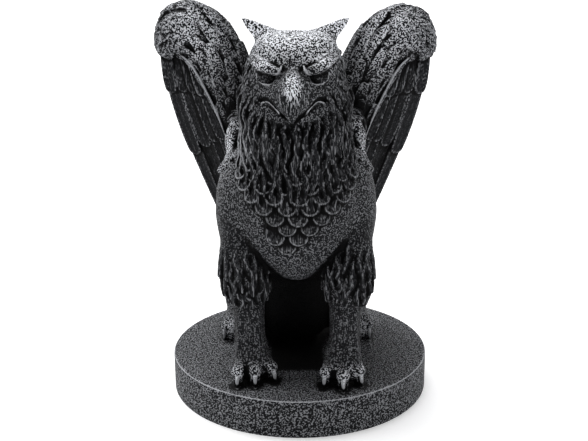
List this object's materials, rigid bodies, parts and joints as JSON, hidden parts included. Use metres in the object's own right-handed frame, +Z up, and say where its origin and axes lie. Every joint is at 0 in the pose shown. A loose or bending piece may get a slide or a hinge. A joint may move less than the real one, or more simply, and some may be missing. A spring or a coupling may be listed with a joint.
{
  "type": "griffin statue",
  "caption": "Seated griffin with raised wings, hooked beak, tufted ears, scaled breast and clawed feet, cast as one with its low round plinth.",
  "frame": {"origin": "middle of the plinth's flat underside", "axes": "+Z up, the griffin faces -Y, +X is the griffin's own left"},
  "size_m": [0.1279, 0.12, 0.1763],
  "materials": {
    "charcoal_resin": "mineral filled casting resin, stippled, near black with pale dry-brushed high points"
  },
  "bodies": {
    "root": {"griffin_statue": "charcoal_resin"}
  },
  "joints": []
}
